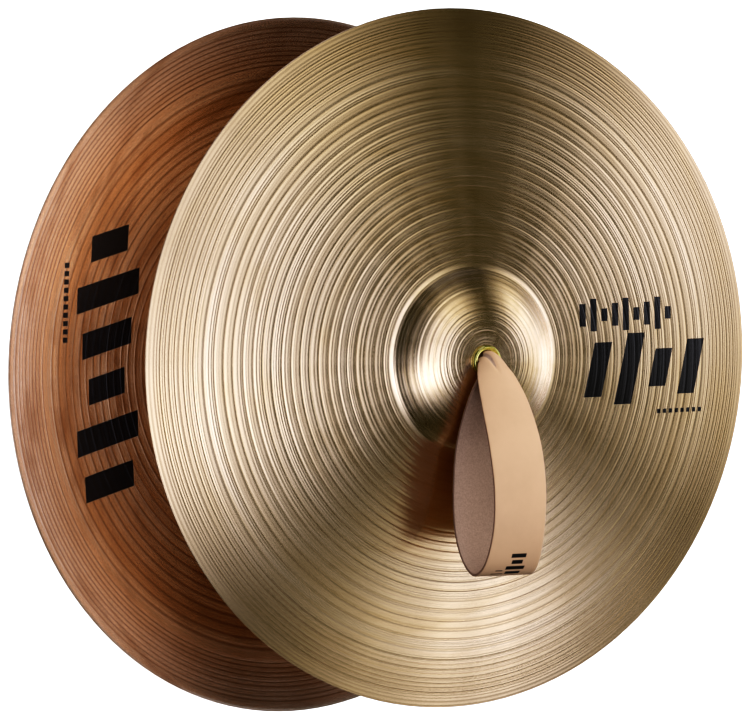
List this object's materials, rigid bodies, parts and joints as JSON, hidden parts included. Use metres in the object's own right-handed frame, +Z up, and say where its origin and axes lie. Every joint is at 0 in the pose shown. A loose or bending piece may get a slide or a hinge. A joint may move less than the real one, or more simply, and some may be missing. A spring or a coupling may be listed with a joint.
{
  "type": "pair of hand cymbals",
  "caption": "Pair of bell-up bronze hand cymbals facing each other, each with a brass eyelet and a hanging leather hand strap tied in a crown knot inside the bell.",
  "frame": {"origin": "centre of the front cymbal's hole, on the outer face of its crown, where the front player's hand holds it", "axes": "+Y along the front cymbal's axis from its bell towards the rear cymbal, +Z up so that the straps hang towards -Z, +X to the right seen from the front"},
  "size_m": [0.5213, 0.2735, 0.4636],
  "materials": {
    "bronze": "lathe-turned, polished",
    "eyelet_brass": "polished",
    "strap_leather": "smooth grain outside, suede inside",
    "thong_leather": "suede"
  },
  "bodies": {
    "front_cymbal": {"front_cymbal": "bronze", "front_eyelet": "eyelet_brass", "front_eyelet_washer": "eyelet_brass"},
    "front_strap_knot": {"front_strap_thong_1": "thong_leather", "front_strap_thong_2": "thong_leather", "front_strap_thong_3": "thong_leather", "front_strap_thong_4": "thong_leather"},
    "front_strap_loop": {"front_strap_loop": "strap_leather"},
    "rear_cymbal": {"rear_cymbal": "bronze", "rear_eyelet": "eyelet_brass", "rear_eyelet_washer": "eyelet_brass"},
    "rear_strap_knot": {"rear_strap_thong_1": "thong_leather", "rear_strap_thong_2": "thong_leather", "rear_strap_thong_3": "thong_leather", "rear_strap_thong_4": "thong_leather"},
    "rear_strap_loop": {"rear_strap_loop": "strap_leather"}
  },
  "joints": [
    {"name": "clash", "type": "slide", "parent": "front_cymbal", "child": "rear_cymbal", "axis": [0, 1, 0], "range_m": [-0.0845, 0.3]},
    {"name": "front_strap_spin", "type": "hinge", "parent": "front_cymbal", "child": "front_strap_knot", "pos_m": [0, 0, 0], "axis": [0, 1, 0], "continuous": true},
    {"name": "front_strap_swing", "type": "hinge", "parent": "front_strap_knot", "child": "front_strap_loop", "pos_m": [0, -0.007, 0], "axis": [-1, 0, 0], "range_deg": [-2.5, 100]},
    {"name": "rear_strap_spin", "type": "hinge", "parent": "rear_cymbal", "child": "rear_strap_knot", "pos_m": [-0.07056, 0.18231, -0.0064], "axis": [-0.1115, 0.9938, 0], "continuous": true},
    {"name": "rear_strap_swing", "type": "hinge", "parent": "rear_strap_knot", "child": "rear_strap_loop", "pos_m": [-0.07134, 0.18927, -0.0064], "axis": [0.9938, 0.1115, 0], "range_deg": [-2.5, 100]}
  ]
}
